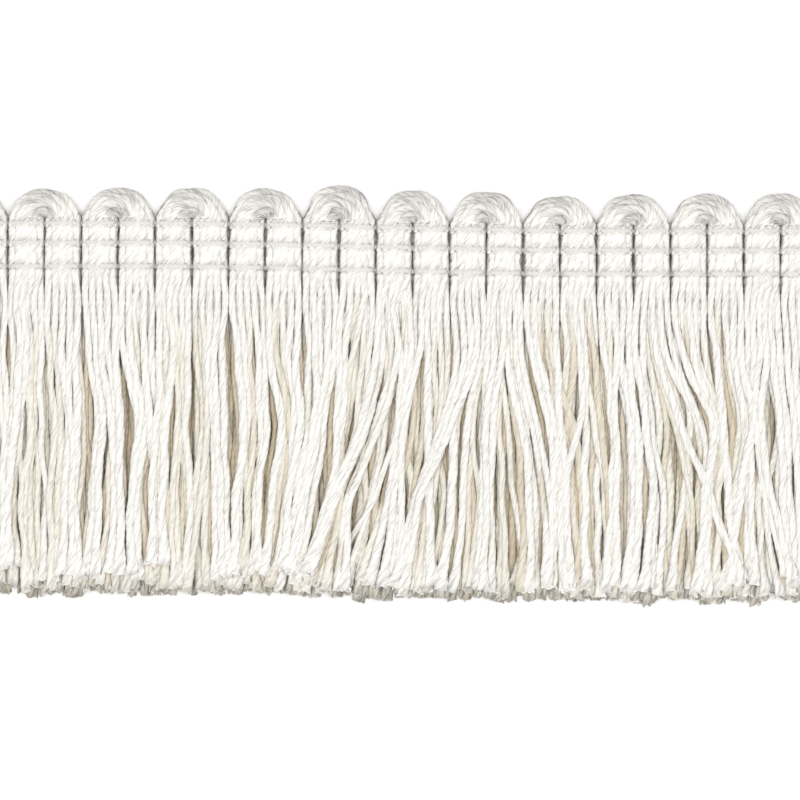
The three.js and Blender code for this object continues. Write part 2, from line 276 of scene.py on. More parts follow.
# Front locks from left to right. Places are from the leg's middle, at the near, middle and low level and the
# tip. Level 1 lies over the other locks and -1 under them; short is how far the lock ends above the cut.
lockColumns = ["leg", "count", "level", "near", "middle", "low", "tip", "short"]
lockRows = [
    (0, 2, 0, -0.9, -0.8, -0.8, -0.9, 2.2),
    (0, 2, 0, 0.9, 0.9, 1.0, 1.0, 2.6),
    (1, 2, 0, -0.5, 0.7, 0.3, 0.2, 2.4),
    (1, 2, 0, 1.4, 2.0, 2.0, 2.2, 3.4),
    (2, 3, 0, -0.4, -1.4, -2.1, -2.1, 3.9),
    (2, 2, -1, 1.0, 0.7, 0.1, 0.6, 1.2),
    (2, 1, -1, 1.8, 1.7, 2.1, 2.0, 2.2),
    (3, 1, -1, -1.6, -0.9, -1.6, -1.3, 1.0),
    (3, 3, 0, 0.4, 1.3, 1.0, 0.9, 2.2),
    (4, 2, 0, -0.3, 0.0, -0.5, -0.9, 2.8),
    (4, 3, 0, 1.3, 1.9, 2.2, 1.9, 2.8),
    (5, 2, 0, -0.7, 0.6, -0.2, -0.3, 2.5),
    (5, 2, 0, 1.4, 2.0, 2.0, 2.1, 3.7),
    (6, 3, 0, -0.5, -1.5, -2.1, -1.9, 3.9),
    (6, 2, -1, 0.9, 0.7, 0.2, 0.4, 1.2),
    (6, 1, -1, 1.8, 1.6, 1.9, 1.9, 2.2),
    (7, 1, -1, -1.6, -0.9, -1.6, -1.3, 1.0),
    (7, 3, 0, 0.2, 1.0, 1.3, 1.4, 2.2),
    (8, 2, 0, 0.0, -0.1, -0.9, -1.4, 2.4),
    (8, 2, 0, 2.1, 2.1, 1.5, 1.0, 2.6),
    (9, 1, 0, -1.4, -0.6, -1.3, -2.2, 2.6),
    (9, 2, 0, 0.7, 1.6, 0.5, -0.3, 3.7),
    (10, 2, 0, -0.7, -1.2, -2.4, -4.3, 3.4),
    (10, 2, 0, 1.0, 0.1, -1.1, -3.2, 2.6),
    (11, 2, 0, -2.4, -2.0, -3.3, -6.1, 2.9),
    (11, 2, -1, 0.5, 0.2, -2.0, -4.3, 2.0),
    (12, 2, 1, -1.8, -4.0, -7.1, -10.6, 3.4),
    (12, 2, 1, 0.4, -2.2, -5.6, -6.5, 1.5),
    (12, 1, -1, -0.9, -0.9, -2.5, -6.2, 2.2),
    (12, 2, 0, 1.3, 0.5, -0.9, -3.8, 1.8),
    (12, 1, 0, 1.9, 0.9, 0.0, -1.2, 1.6),
    (12, 1, 1, 1.0, 0.3, -2.4, -6.0, 6.0),
    (13, 2, 0, -2.1, -3.5, -3.7, -4.5, 1.8),
    (13, 1, 0, -0.5, -0.5, -0.4, -0.2, 2.0),
    (13, 3, -1, 1.3, 0.9, -0.5, -1.8, 1.2),
    (14, 3, 1, 0.2, -2.8, -6.0, -8.3, 1.2),
    (14, 1, 0, 0.8, -1.5, -2.0, -3.5, 1.5),
    (14, 1, 0, 1.4, -0.2, -0.4, -1.8, 1.5),
    (15, 3, 0, -1.3, -2.0, -2.2, -2.5, 1.2),
    (15, 1, -1, -0.7, -0.8, -0.1, 0.0, 0.8),
    (15, 2, 0, 0.4, 2.2, 3.2, 3.6, 1.6),
    (15, 2, 0, 1.6, 3.6, 5.0, 5.3, 1.8),
    (16, 2, 0, -0.2, 1.2, 1.9, 2.3, 1.8),
    (16, 1, 0, 1.7, 2.4, 3.1, 3.5, 2.0),
    (17, 2, -1, -0.6, -1.3, -1.2, -0.5, 1.8),
    (17, 1, 1, 0.8, 0.1, -1.8, -1.5, 2.2),
    (17, 1, 0, 1.1, 0.9, 0.9, 0.9, 2.0),
    (17, 2, -1, 2.0, 2.1, 2.0, 2.0, 0.6),
    (18, 2, 0, -0.3, -0.1, -0.1, -0.6, 2.0),
    (18, 2, 0, 1.1, 2.2, 2.5, 1.6, 1.8),
    (19, 2, 0, -1.7, -0.7, 0.1, -0.7, 2.0),
    (19, 1, 1, 1.3, 3.5, 7.1, 10.9, 3.1),
    (19, 2, 0, 2.8, 5.9, 6.2, 6.6, 1.6),
    (20, 2, 0, 0.7, 3.1, 2.2, 1.5, 1.8),
    (20, 1, -1, 2.0, 3.9, 2.9, 3.1, 1.8),
    (21, 1, 0, -0.6, -0.4, 0.6, 1.8, 2.4),
    (21, 2, 0, 1.5, 2.7, 1.5, 0.4, 2.2),
    (22, 2, 1, 0.1, -0.7, 0.7, 3.3, 3.1),
    (22, 2, 0, 1.7, 2.5, 2.9, 3.8, 2.0),
    (22, 2, 0, -1.4, -1.6, -1.6, -1.2, 2.0),
    (23, 2, 0, -0.6, -0.3, 0.1, 0.6, 2.2),
    (23, 2, 0, 1.4, 2.2, 2.7, 3.0, 2.4),
    (24, 2, 0, -0.7, -0.2, 0.2, 0.5, 2.2),
    (24, 2, 0, 1.2, 1.5, 1.7, 1.8, 2.6),
    (25, 2, 0, -0.9, -0.8, -0.7, -0.6, 2.4),
    (25, 2, 0, 0.8, 0.9, 0.9, 0.8, 2.0),
]
locks = [dict(zip(lockColumns, row)) for row in lockRows]
lockStations = ["near", "middle", "low", "tip"]
frontLayer = 2  # of the locks: 3 lies over them, 1 and less under them
underLayer = 1
strandsPerLeg = heading["across"] * heading["deep"]


def cutAt(x):
    return brush["cut"] + bowAt(x)


def tipOf(strand):
    return cutAt(strand["xs"][-1]) + strand["short"]


# The front strands of a leg, lock by lock
def drawLocks(leg):
    strands = []
    for lock in (lock for lock in locks if lock["leg"] == leg):
        for place in range(lock["count"]):
            beside = place - (lock["count"] - 1) / 2
            xs = [lock[key] + beside * gap for key, gap in zip(lockStations, brush["spread"])]
            xs = np.array(xs) + chance.normal(0, brush["stray"], len(xs)) * brush["strayAt"]
            short = lock["short"] + chance.normal(0, brush["shortUneven"]) - brush["longer"]
            strands.append({"xs": legX(leg) + xs, "layer": frontLayer + lock["level"], "short": short})
    strands.sort(key=lambda s: s["xs"][0])
    while len(strands) < heading["across"]:  # thin places are closed from under the locks
        gap = int(np.argmax(np.diff([s["xs"][0] for s in strands])))
        xs = (strands[gap]["xs"] + strands[gap + 1]["xs"]) / 2
        xs = xs + chance.normal(0, brush["stray"], len(xs))
        short = chance.uniform(*brush["closeShort"])
        strands.insert(gap + 1, {"xs": xs, "layer": underLayer, "short": short})
    for place, strand in enumerate(strands):
        strand["fan"] = (place / (len(strands) - 1) * 2 - 1) * brush["fanHalf"]
        even = legX(leg) + ((place + 0.5) / len(strands) - 0.5) * legPitch
        strand["xs"][0] += (even - strand["xs"][0]) * brush["evenNear"]
    return strands


# The strands that lie under the locks and fill up the leg
def drawFill(leg, front):
    lean = np.mean([s["xs"] for s in front if s["layer"] == frontLayer], 0) - legX(leg)
    fill = strandsPerLeg - len(front)
    strands = []
    for place in range(fill):
        layer = brush["fillLayers"][place % len(brush["fillLayers"])]
        share = (place + 0.5) / fill * 2 - 1
        xs = share * np.array(brush["fillHalf"]) + lean * brush["fillLean"] * layer
        stray = chance.uniform(-1, 1, len(xs)) * brush["fillStray"] * (brush["fillStrayBack"] + layer)
        xs = xs + stray * brush["fillStrayAt"]
        if layer == underLayer:
            xs = xs + chance.uniform(-1, 1) * brush["swing"] * np.array(brush["swingAt"])
        short = layer * brush["fillShort"] + chance.normal(0, brush["cutUneven"])
        fan = share * brush["fanHalf"]
        strands.append({"xs": legX(leg) + xs, "layer": layer, "short": short, "fan": fan})
    return strands


# Gives each strand its place in the leg: front strands in the front row, in the order they lie
def rootStrands(strands):
    order = sorted(strands, key=lambda s: -s["layer"])
    slots = {}
    for deep in range(heading["deep"]):
        first = (heading["deep"] - 1 - deep) * heading["across"]
        row = sorted(order[first : first + heading["across"]], key=lambda s: s["xs"][0])
        for across, strand in enumerate(row):
            slots[across, deep] = strand
    return slots


# A smooth line through places at given heights
def easeThrough(heights, places, y):
    heights, places = -np.array(heights), np.array(places)
    slopes = np.gradient(places, heights)
    slopes[0] *= brush["rootSlope"]
    i = np.clip(np.searchsorted(heights, -y) - 1, 0, len(heights) - 2)
    step = heights[i + 1] - heights[i]
    t = (-y - heights[i]) / step
    return (
        (2 * t**3 - 3 * t**2 + 1) * places[i]
        + (t**3 - 2 * t**2 + t) * step * slopes[i]
        + (3 * t**2 - 2 * t**3) * places[i + 1]
        + (t**3 - t**2) * step * slopes[i + 1]
    )


headingPaths = {}
allStrands = []
for bundle in range(trim["bundles"]):
    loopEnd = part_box("yarn_bundle_%02d" % (bundle + 1))[1].y / mm
    middleX = bundleX(bundle)
    middleY = loopHeight + bowAt(middleX)
    archHeight = loopEnd - middleY - heading["loopHalf"] - heading["loopSettle"]
    leans = chance.normal(0, heading["legLean"], 2)
    swells = chance.normal(heading["legSwell"], heading["swellUneven"], (2, 2))
    for leg in (2 * bundle, 2 * bundle + 1):
        front = drawLocks(leg)
        for (across, deep), strand in rootStrands(front + drawFill(leg, front)).items():
            strand.update(leg=leg, across=across, deep=deep)
            allStrands.append(strand)
    for across in range(heading["across"]):
        for deep in range(heading["deep"]):
            acrossShare = across / (heading["across"] - 1) * 2 - 1
            deepShare = deep / (heading["deep"] - 1)
            path, wide, thick = layHeadingYarn(acrossShare, deepShare, archHeight, leans, swells)
            path += [middleX, middleY, 0]
            headingPaths[bundle, across, deep] = path, wide, thick
print("heading: %d yarns laid" % len(headingPaths))

strandAt = {(s["leg"], s["across"], s["deep"]): s for s in allStrands}


# The two strands that a heading yarn goes over into, left and right
def strandsOf(bundle, across, deep):
    mirrored = heading["across"] - 1 - across
    return strandAt[2 * bundle, across, deep], strandAt[2 * bundle + 1, mirrored, deep]


for place, (path, wide, thick) in headingPaths.items():
    for strand, end in zip(strandsOf(*place), (0, -1)):
        strand.update(root=path[end], rootWide=wide[end], rootThick=thick[end])


# Pile: the strands laid one on another, and the light that gets down to them

pile = {
    "cell": 0.1,  # of the grid that keeps the height laid so far
    "margin": 4.0,  # of that grid round the brush
    "reach": 8,  # cells to each side of a strand's middle that it may cover
    "drape": 1.6,  # strands bend softly over what lies under them
    "sink": 0.3,  # and sink in by this much at most
    "evenOver": 9,  # cells along a strand over which its height is evened out
    "loft": 3.4,  # the pile presses itself down towards this height
    "risen": (3.0, 2.0),  # so far under its leg a front or a lower strand comes to its own height
    "layerShade": {0: 0.24, 0.5: 0.42, 1: 0.6, 2: 1, 3: 1},  # painted shade: inner strands are painted warmer and darker, from back to front
    "toneFrom": (2.0, 10.0),  # so far under its leg a strand comes to its full painted shade
    "shadeAcross": 2.4,  # width and length of the pile that a strand is compared with
    "shadeAlong": 1.6,
    "buried": (-0.25, 1.5),  # from open to deep in the pile
    "onTable": (2.4, 0.9),  # painted shade grows from the face of the pile down to the table
    "tableDim": 0.55,
    "sideLit": 4.0,  # the ends of the trim lie open to the light
}


def boxMean(values, count, axis):
    kernel = np.ones(count) / count
    return np.apply_along_axis(lambda line: np.convolve(line, kernel, "same"), axis, values)


def softened(values, kernel):
    return np.convolve(np.pad(values, len(kernel) // 2, mode="edge"), kernel, "valid")


# The way of a strand from its root to its tip, row by row of the grid
def runStrand(strand):
    rootX, rootY = strand["root"][:2]
    tipY = tipOf(strand)
    rows = np.arange(int((loopHeight - rootY) / pile["cell"]), int((loopHeight - tipY) / pile["cell"]))
    y = loopHeight - rows * pile["cell"]
    fanX = legX(strand["leg"]) + strand["fan"]
    levels = [brush["nearLevel"], brush["middleLevel"], brush["lowLevel"]]
    x = easeThrough([rootY, rootY - brush["fanBelow"], *levels, tipY], [rootX, fanX, *strand["xs"]], y)
    down = rootY - y
    for wave in chance.uniform(*brush["waves"], 2):
        swerve = np.sin(2 * math.pi * (down / wave + chance.random()))
        x = x + brush["wander"] * swerve * smoothStep(0, brush["waveFrom"], down)
    inside = trimHalf - brush["endRoom"]
    past = np.maximum(np.abs(x) - inside, 0)
    crowded = brush["endReach"] * (1 - np.exp(-past / brush["endReach"]))
    x = np.sign(x) * (np.minimum(np.abs(x), inside) + crowded)
    return x, y, rows


# Half width and half thickness of a strand along its way
def sizeStrand(strand, y):
    down = strand["root"][1] - y
    size = chance.uniform(*brush["sizes"])
    flare = brush["underFlare"] if strand["layer"] < underLayer else brush["flare"]
    if strand["short"] > brush["brokenOff"]:
        flare, size = 1, brush["brokenSize"]
    opened = smoothStep(0, brush["openBy"], down)
    drawn = smoothStep(brush["openBy"], brush["drawnBy"], down)
    wide = strand["rootWide"] + (brush["upperHalf"] - strand["rootWide"]) * opened
    wide = wide + (brush["lowerHalf"][strand["layer"]] * size - wide) * drawn
    wide = wide * (1 + (flare - 1) * smoothStep(brush["flareLength"], 0, y - tipOf(strand)))
    thinned = smoothStep(0, brush["thinBy"], down)
    thick = strand["rootThick"] + (brush["halfHeight"] * size - strand["rootThick"]) * thinned
    return wide, thick


# Lays the strands, lowest first, and returns the height that they come to all over the brush
def settleStrands():
    cell, margin = pile["cell"], pile["margin"]
    columns = int((2 * trimHalf + 2 * margin) / cell)
    height = np.zeros((int((loopHeight - brush["cut"] + margin) / cell), columns))
    bellReach = int(3 * pile["drape"] / cell)  # a bell curve has run out at three times its width
    bell = np.exp(-0.5 * (np.arange(-bellReach, bellReach + 1) * cell / pile["drape"]) ** 2)
    bell /= bell.sum()
    reachCells = np.arange(-pile["reach"], pile["reach"] + 1)
    for strand in sorted(allStrands, key=lambda s: (s["layer"], chance.random())):
        x, y, rows = runStrand(strand)
        wide, thick = sizeStrand(strand, y)
        at = np.round((x + trimHalf + margin) / cell).astype(int)[:, None] + reachCells
        offset = (at * cell - trimHalf - margin - x[:, None]) / wide[:, None]
        covers = np.abs(offset) < 1
        crown = np.sqrt(np.clip(1 - offset**2, 0, 1)) * thick[:, None]
        under = np.where(covers, height[rows[:, None], at] + crown, 0).max(1)
        rest = np.maximum(under, thick)
        rest = np.maximum(softened(rest, bell), rest - pile["sink"])
        rest = softened(rest, np.ones(pile["evenOver"]) / pile["evenOver"])
        pressed = np.maximum(pile["loft"] * (1 - np.exp(-rest / pile["loft"])), thick)
        rootY, rootZ = strand["root"][1:]
        risen = smoothStep(0, pile["risen"][strand["layer"] < underLayer], rootY - y)
        lies = rootZ + (rest - rootZ) * risen
        laid = np.where(covers, lies[:, None] + crown, 0)
        height[rows[:, None], at] = np.maximum(height[rows[:, None], at], laid)
        strand["line"] = np.stack([x, y, rootZ + (pressed - rootZ) * risen], 1)
        strand.update(wide=wide, thick=thick, rows=rows, columns=at[:, pile["reach"]], crest=lies + thick)
    return height


# A strand that lies lower than what is round it gets little light, and that light is warm: painted shade,
# darker and warmer
def shadeStrands(height):
    around = boxMean(height, int(pile["shadeAcross"] / pile["cell"]), 1)
    around = boxMean(around, int(pile["shadeAlong"] / pile["cell"]), 0)
    for strand in allStrands:
        x, y = strand["line"][:, 0], strand["line"][:, 1]
        buried = around[strand["rows"], strand["columns"]] - strand["crest"]
        low = pile["tableDim"] * smoothStep(*pile["onTable"], strand["crest"])
        dim = np.maximum(smoothStep(*pile["buried"], buried), low)
        atSide = smoothStep(trimHalf - pile["sideLit"], trimHalf, np.abs(x))
        tone = np.maximum(pile["layerShade"][strand["layer"]] * (1 - dim), atSide)
        strand["shade"] = 1 - (1 - tone) * smoothStep(*pile["toneFrom"], strand["root"][1] - y)


shadeStrands(settleStrands())
brushHeight = max((s["line"][:, 2] + s["thick"]).max() for s in allStrands)
print("brush: %d strands, %.2f mm high" % (len(allStrands), brushHeight))


# Meshes: a plied yarn swept along each path, all of a bundle's yarns in one mesh

ply = {
    "plies": 3,
    "sides": [12, 9, 9, 12],  # of a yarn's section, for the back, middle and front yarns of a leg
    "headingGroove": 0.08,  # how far the section draws in between the plies
    "groove": 0.18,
    "tipGroove": 0.36,
    "tipLength": 3.0,
    "looseBy": 4.0,  # so far under its leg a yarn is loose
    "brushTurn": 11.0,  # one turn of the twist
    "headingTurn": 8.0,
    "ragged": 0.3,  # the cut is uneven by this much
    "offTable": 0.02,
    "round": 2.6,  # mm round a yarn on its map
}


def sampleStrand(strand):
    at = np.linspace(0, len(strand["line"]) - 1, brush["rings"] + 1)[1:]
    steps = np.arange(len(strand["line"]))
    line = np.stack([np.interp(at, steps, part) for part in strand["line"].T], 1)
    return line, *(np.interp(at, steps, strand[key]) for key in ("wide", "thick", "shade"))


# Rings of points round a path, with the plies turning along it; tilt 0 keeps the rings upright
def sweepYarn(path, wide, thick, turn, groove, phase, sides, tilt):
    along = np.gradient(path, axis=0) * [1, 1, tilt]
    along /= np.linalg.norm(along, axis=1, keepdims=True)
    side = np.cross([0, 0, 1], along)
    side /= np.linalg.norm(side, axis=1, keepdims=True)
    up = np.cross(along, side)
    around = np.arange(sides) / sides * 2 * math.pi
    radius = 1 - groove[:, None] * (1 - np.abs(np.cos(ply["plies"] / 2 * around)))
    angle = around + turn[:, None] + phase
    return (
        path[:, None]
        + side[:, None] * (wide[:, None] * radius * np.cos(angle))[..., None]
        + up[:, None] * (thick[:, None] * radius * np.sin(angle))[..., None]
    )


# One mesh from many rings, closed at both ends, with its own map in millimetres along and round each yarn
def joinYarns(name, yarns, rounds):
    points, loops, starts, maps, shades, darks, smooth = [], [], [], [], [], [], []
    used = corner = 0
    for rings, length, shade, dark in yarns:
        count, sides = rings.shape[:2]
        ring = np.arange(count - 1)[:, None] * sides
        a = np.arange(sides)
        b = (a + 1) % sides
        quads = np.stack([ring + a, ring + b, ring + sides + b, ring + sides + a], 2).reshape(-1, 4)
        us = np.stack([length[:-1], length[:-1], length[1:], length[1:]], 1)
        vs = np.stack([a, a + 1, a + 1, a], 1) / sides * rounds
        us, vs = (np.broadcast_to(part, (count - 1, sides, 4)) for part in (us[:, None], vs))
        ends = np.concatenate([a[::-1], (count - 1) * sides + a])
        endMap = np.stack([np.repeat(length[[0, -1]], sides), np.tile(a / sides * rounds, 2)], 1)
        points.append(rings.reshape(-1, 3))
        loops.append(np.concatenate([quads.reshape(-1), ends]) + used)
        maps.append(np.concatenate([np.stack([us, vs], 3).reshape(-1, 2), endMap]))
        starts.append(np.append(np.arange(len(quads) + 1) * 4, len(quads) * 4 + sides) + corner)
        smooth.append(np.arange(len(quads) + 2) < len(quads))  # cut ends are flat
        shades.append(np.broadcast_to(shade, (count, sides)).ravel())
        darks.append(np.broadcast_to(dark, (count, sides)).ravel())
        used += count * sides
        corner += len(quads) * 4 + 2 * sides
    points, loops, starts = np.concatenate(points) * mm, np.concatenate(loops), np.concatenate(starts)
    mesh = bpy.data.meshes.new(name)
    mesh.vertices.add(len(points))
    mesh.vertices.foreach_set("co", points.astype(np.float32).ravel())
    mesh.loops.add(len(loops))
    mesh.loops.foreach_set("vertex_index", loops.astype(np.int32))
    mesh.polygons.add(len(starts))
    mesh.polygons.foreach_set("loop_start", starts.astype(np.int32))
    yarnMap = mesh.uv_layers.new(name="yarnMap")
    yarnMap.uv.foreach_set("vector", np.concatenate(maps).astype(np.float32).ravel())
    for attribute, values in (("yarnShade", shades), ("yarnDark", darks)):
        values = np.concatenate(values).astype(np.float32)
        mesh.attributes.new(attribute, "FLOAT", "POINT").data.foreach_set("value", values)
    mesh.update(calc_edges=True)
    mesh.validate()
    mesh.polygons.foreach_set("use_smooth", np.concatenate(smooth))
    piece = bpy.data.objects.new(name, mesh)
    bpy.context.scene.collection.objects.link(piece)
    return piece


# Painted light and shade: how much light a yarn loses on its way from cut to cut

yarnLight = {
    "toneSpread": (0.22, 0.05),  # from yarn to yarn, inside the brush and on its face
    "cutLight": 0.7,  # light gets in from the cut
    "cutLightLength": 4.0,
    "endLength": 3.0,  # cut ends that lie low drink the light
    "lowEnds": (1.9, 0.7),
    "endShadeWarm": 0.5,
    "endDim": 0.72,
    "loopDim": 0.56,  # painted shade on the bent top of a loop
    "loopFrom": (0.2, 3.0),
    "loopReach": 2.9,
    "loopOff": 0.9,  # its shade lies to one side by up to this much
    "eyeDim": 0.6,
    "eyeUp": 0.4,
    "eyeReach": (2.3, 0.5),
    "eyeFrom": (-0.2, 0.5),
    "rowDim": 0.5,  # painted shade over each stitch row
    "rowOver": (-1.1, 0.1),
    "rowUnder": (0.24, 0.08),
    "bandLift": 0.08,  # painted light: the full bands lie smooth and bright, so their painted shade is lifted
    "bandTo": 0.8,
    "slitDim": 1.0,  # painted shade at the bottom of the slits between the legs
    "slitDeep": 1,  # which is the second row of yarns from the back
    "slitFrom": 1.2,
    "backFrom": 0.6,  # only the face of a yarn lies in shade
}


# Painted shade over each stitch row, on the bent top of a loop and in its eye
def headingDim(bundle, line, loopOff):
    x = line[:, 0] - bundleX(bundle)
    up = line[:, 1] - loopHeight - bowAt(line[:, 0])
    across = np.exp(-(((x - loopOff) / yarnLight["loopReach"]) ** 2))
    bent = yarnLight["loopDim"] * smoothStep(*yarnLight["loopFrom"], up) * across
    inEye = smoothStep(*yarnLight["eyeReach"], np.hypot(x, up - yarnLight["eyeUp"]))
    eye = yarnLight["eyeDim"] * inEye * smoothStep(*yarnLight["eyeFrom"], up)
    dim = np.maximum(bent, eye)
    for row in rowsBelow:
        past = -up - row
        over, under = smoothStep(*yarnLight["rowOver"], past), smoothStep(*yarnLight["rowUnder"], past)
        dim = np.maximum(dim, yarnLight["rowDim"] * over * under)
    bands = smoothStep(yarnLight["bandTo"], 0, up) * smoothStep(brushTop, rowsBelow[-1], -up)
    return dim - yarnLight["bandLift"] * bands * (1 - np.minimum(dim / yarnLight["rowDim"], 1))


# A yarn of a bundle from cut to cut: its line, half width, half thickness and tone
def wholeYarn(bundle, across, deep):
    left, right = (sampleStrand(strand) for strand in strandsOf(bundle, across, deep))
    path, wide, thick = headingPaths[bundle, across, deep]
    middle = path, wide, thick, np.ones(len(path))
    return [np.concatenate([start[::-1], *rest]) for start, *rest in zip(left, middle, right)]


def spinBundle(bundle):
    yarns = []
    loopOff = chance.uniform(-yarnLight["loopOff"], yarnLight["loopOff"])
    for across in range(heading["across"]):
        for deep in range(heading["deep"]):
            line, wide, thick, shade = wholeYarn(bundle, across, deep)
            steps = stepsAlong(line)
            length = runningSum(steps)
            fromEnd = np.minimum(length, length[-1] - length)
            inBrush = np.ones(len(line), bool)
            inBrush[brush["rings"] : -brush["rings"]] = False
            overRoot = line[:, 1] - line[brush["rings"], 1]
            loose = smoothStep(0, ply["looseBy"], -overRoot)

            pitch = np.where(inBrush, ply["brushTurn"], ply["headingTurn"])
            turn = runningSum(steps / pitch[1:]) * 2 * math.pi
            groove = ply["headingGroove"] + (ply["groove"] - ply["headingGroove"]) * loose
            groove = groove + (ply["tipGroove"] - ply["groove"]) * smoothStep(ply["tipLength"], 0, fromEnd)
            sides = ply["sides"][deep]
            phase = chance.uniform(0, 2 * math.pi)
            swept = sweepYarn(line, wide, thick, turn, groove, phase, sides, 0)
            for end in (0, -1):
                swept[end, :, 1] += chance.uniform(-1, 1, sides) * ply["ragged"]
            swept[..., 2] = np.maximum(swept[..., 2], ply["offTable"])  # nothing goes under the table

            # painted light near the cut end
            lit = np.maximum(yarnLight["cutLight"] - shade, 0)
            shade = shade + lit * smoothStep(yarnLight["cutLightLength"], 0, fromEnd)
            onFace = deep == heading["deep"] - 1
            shade = np.clip(shade + chance.normal(0, yarnLight["toneSpread"][onFace]) * loose, 0, 1)
            # painted shade: cut ends that lie low are painted warmer and darker
            lowEnd = smoothStep(yarnLight["endLength"], 0, fromEnd)
            lowEnd = lowEnd * smoothStep(*yarnLight["lowEnds"], line[:, 2])
            shade = shade * (1 - yarnLight["endShadeWarm"] * lowEnd)
            dark = np.where(inBrush, lowEnd * yarnLight["endDim"], headingDim(bundle, line, loopOff))
            # painted shade deep in the slits between the legs
            if deep == yarnLight["slitDeep"] and across in (0, heading["across"] - 1):
                slit = yarnLight["slitDim"] * smoothStep(0, yarnLight["slitFrom"], overRoot)
                dark = np.maximum(dark, slit)
            under = (line[:, None, 2] - swept[..., 2]) / thick[:, None]
            back = smoothStep(0, yarnLight["backFrom"], under)
            shade = shade[:, None] + (1 - shade[:, None]) * back
            yarns.append((swept, length, shade, dark[:, None] * (1 - back)))
    return yarns


print("yarn meshes")
fringe = []
for bundle in range(trim["bundles"]):
    number = "%02d" % (bundle + 1)
    piece = joinYarns("fringe_yarns_" + number, spinBundle(bundle), ply["round"])
    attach(piece, "root")
    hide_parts("yarn_bundle_" + number)
    fringe.append(piece)


# Stitch rows: a fine thread sunk in each groove, front and back, crossing between the legs

stitching = {
    "halfWidth": 0.4,
    "halfHeight": 0.09,
    "sides": 9,
    "turn": 1.8,  # one turn of the twist
    "step": 0.3,  # ring to ring
    "sink": 0.15,  # how deep the thread is pressed into the yarns
    "groove": 0.06,  # between its plies
    "crossHeight": 1.2,  # of the threads between two legs
    "lapReach": 1.7,  # where the thread turns down beside a leg
    "shade": 0.6,
    "round": 1.2,  # mm round a thread on its map
}


def sewRow(rowHeight, below, front):
    x = np.arange(-trimHalf, trimHalf + stitching["step"] / 2, stitching["step"])
    leg = np.round(x / legPitch - 0.5) + 0.5
    across = (x - leg * legPitch) / heading["legHalfWidth"]
    level = np.full(len(x), below)
    half, lap = stackYarn(level, np.zeros(len(x)), np.clip(across, -1, 1), float(front))
    lap = lap + (1 if front else -1) * (half + stitching["halfHeight"] - stitching["sink"])
    lap = np.maximum(lap, stitching["halfHeight"])
    beside = smoothStep(stitching["lapReach"], legPitch / 2, np.abs(across) * heading["legHalfWidth"])
    z = lap + (stitching["crossHeight"] - lap) * beside
    return np.stack([x, rowHeight + bowAt(x), z], 1)


stitches = []
for name, rowHeight, below in zip(rowNames, rowHeights, rowsBelow):
    threads = []
    for front in (True, False):
        path = sewRow(rowHeight, below, front)
        length = runningSum(stepsAlong(path))
        wide = np.full(len(path), stitching["halfWidth"])
        thick = np.full(len(path), stitching["halfHeight"])
        groove = np.full(len(path), stitching["groove"])
        turn = length / stitching["turn"] * 2 * math.pi
        swept = sweepYarn(path, wide, thick, turn, groove, 0, stitching["sides"], 1)
        threads.append((swept, length, stitching["shade"], 0.0))
    piece = joinYarns(name.replace("stitch_row", "chain_thread"), threads, stitching["round"])
    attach(piece, "root")
    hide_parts(name)
    stitches.append(piece)
print("stitch rows: %d" % len(stitches))


# Finishes

def hexColour(text):
    parts = [int(text[i : i + 2], 16) / 255 for i in (0, 2, 4)]
    return [c / 12.92 if c <= 0.04045 else ((c + 0.055) / 1.055) ** 2.4 for c in parts] + [1]


def addNode(material, kind, settings=None, links=None):
    node = material.node_tree.nodes.new(kind)
    for key, value in (settings or {}).items():
        if isinstance(key, int) or key in node.inputs:
            node.inputs[key].default_value = value
        else:
            setattr(node, key, value)
    for key, socket in (links or {}).items():
        material.node_tree.links.new(socket, node.inputs[key])
    return node


def newMaterial(name):
    material = bpy.data.materials.new(name)
    material.use_nodes = True
    material.node_tree.nodes.clear()
    return material


# Bright viscose rayon, plied and cut: white where it faces the light, painted warm and darker as shade where
# it lies deep, with painted shade in the line between the plies and the fine lines of the filaments following
# the twist
rayon = {
    "tones": [(0.0, "D0C2A6"), (0.2, "E0D6C2"), (0.5, "EDE8DB"), (0.85, "F6F3ED")],  # painted shade: from deep in the pile to the face
    "round": ply["round"],
    "filament": 0.15,  # mm, drawn coarser than real filaments so that they show
    "filamentLength": 1.7,
    "filamentSlope": 0.2,  # how much more than the plies they turn
    "plyLine": 0.3,  # share of a ply that its painted shade edge takes
    "plyShade": 0.13,
    "filamentDark": 0.32,
    # painted shade on bent and cut yarn, over the stitch rows and in the slits
    "paintedShadeDark": 0.42,
    "streaks": 2.2,  # the filaments show more where bent and cut yarn is painted with shade
    "roughness": 0.55,
    "sheen": 0.2,
    "lineDepth": 0.04,
}

# Mercerised cotton sewing thread: a finer, tighter twist with a clean white, painted grey as the shade of the
# groove it lies in
cotton = {
    "tones": [(0.0, "D6D4CF"), (1.0, "E4E2DD")],
    "round": stitching["round"],
    "filament": 0.1,
    "filamentLength": 0.8,
    "filamentSlope": 0.3,
    "plyLine": 0.3,
    "plyShade": 0.08,
    "filamentDark": 0.1,
    "paintedShadeDark": 0.0,
    "streaks": 0.0,
    "roughness": 0.5,
    "sheen": 0.15,
    "lineDepth": 0.02,
}

# Both are cellulose fibres
fibre = {
    "ior": 1.53,
    "sheenRoughness": 0.4,
    "bump": 0.7,
    "noiseDetail": 2.0,
    "noiseRoughness": 0.6,
    "noiseRange": (0.3, 0.5),  # from a dark line to the light filament beside it
}


